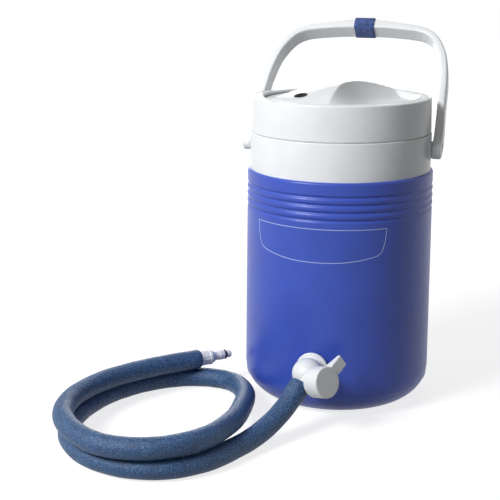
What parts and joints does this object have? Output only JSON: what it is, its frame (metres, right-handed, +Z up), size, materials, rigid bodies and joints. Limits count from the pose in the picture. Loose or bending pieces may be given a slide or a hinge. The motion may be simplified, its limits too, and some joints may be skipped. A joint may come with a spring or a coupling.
{
  "type": "hot and cold therapy machine",
  "caption": "Insulated water jug with a lift-off pump lid, swinging bail handle, drain tap and insulated hose that ends in a plug-in coupling, for hot or cold therapy.",
  "frame": {"origin": "on the floor, on the axis of the round jug", "axes": "+Z up along the jug's axis, -Y towards the tap, the handle turns about X"},
  "size_m": [0.3207, 0.3989, 0.3744],
  "materials": {
    "shell_blue": "fine orange-peel grain, soft sheen",
    "foam_cream": "foamed",
    "liner_white": "smooth",
    "collar_white": "satin",
    "pin_white": "satin",
    "tap_white": "satin",
    "knob_white": "satin",
    "plug_grey": "smooth",
    "seal_black": "moulded",
    "seal_grey": "moulded",
    "nut_white": "smooth",
    "hose_blue": "knitted sleeve over foam",
    "coupling_white": "satin",
    "handle_white": "satin",
    "strap_blue": "woven webbing",
    "lid_white": "satin",
    "panel_white": "satin",
    "pan_white": "smooth",
    "screw_steel": "zinc plated",
    "socket_black": "smooth",
    "motor_steel": "drawn can",
    "pump_grey": "smooth",
    "membrane_black": "moulded",
    "tube_clear": "clear soft tube",
    "board_green": "solder mask",
    "lead_red": "insulated lead",
    "lead_black": "insulated lead",
    "eccentric_brass": "turned"
  },
  "bodies": {
    "jug": {"outer_shell": "shell_blue", "foam_insulation": "foam_cream", "inner_liner": "liner_white", "collar": "collar_white", "pivot_pin_left": "pin_white", "pivot_pin_right": "pin_white", "tap_body": "tap_white", "tap_gasket": "seal_grey", "tap_liner_washer": "seal_grey", "tap_backnut": "nut_white", "outlet_barb": "nut_white", "hose": "hose_blue", "coupling_sleeve": "coupling_white", "coupling_plug": "coupling_white", "coupling_oring": "seal_black"},
    "handle": {"handle_bail": "handle_white", "handle_strap": "strap_blue"},
    "seal": {"lid_gasket": "seal_grey"},
    "lid": {"lid_cap": "lid_white", "grip_panel": "panel_white", "lid_pan": "pan_white", "pan_screws": "screw_steel", "power_socket": "socket_black", "socket_nut": "screw_steel", "pump_motor": "motor_steel", "motor_clamp": "pump_grey", "pump_head": "pump_grey", "pump_diaphragm": "membrane_black", "pump_cap": "pump_grey", "air_tube": "tube_clear", "air_nozzle": "pan_white", "nozzle_seal": "membrane_black", "circuit_board": "board_green", "board_screws": "screw_steel", "pump_screws": "screw_steel", "power_leads": "lead_red", "motor_leads": "lead_black"},
    "crank": {"motor_shaft": "screw_steel", "eccentric": "eccentric_brass"},
    "valve": {"tap_knob": "knob_white", "tap_plug": "plug_grey", "plug_orings": "seal_black"}
  },
  "joints": [
    {"name": "handle_swing", "type": "hinge", "parent": "jug", "child": "handle", "pos_m": [0, 0, 0.253], "axis": [1, 0, 0], "range_deg": [-48.5, 135.5]},
    {"name": "lid_lift", "type": "slide", "parent": "jug", "child": "seal", "axis": [0, 0, 1], "range_m": [0, 0.12]},
    {"name": "lid_turn", "type": "hinge", "parent": "seal", "child": "lid", "pos_m": [0, 0, 0.287], "axis": [0, 0, 1], "range_deg": [0, 90]},
    {"name": "motor_spin", "type": "hinge", "parent": "lid", "child": "crank", "pos_m": [0, 0.018, 0.2751], "axis": [1, 0, 0], "continuous": true},
    {"name": "tap_turn", "type": "hinge", "parent": "jug", "child": "valve", "pos_m": [0, -0.1195, 0.0476], "axis": [0.8178, -0.519, 0.2487], "range_deg": [0, 90]}
  ]
}
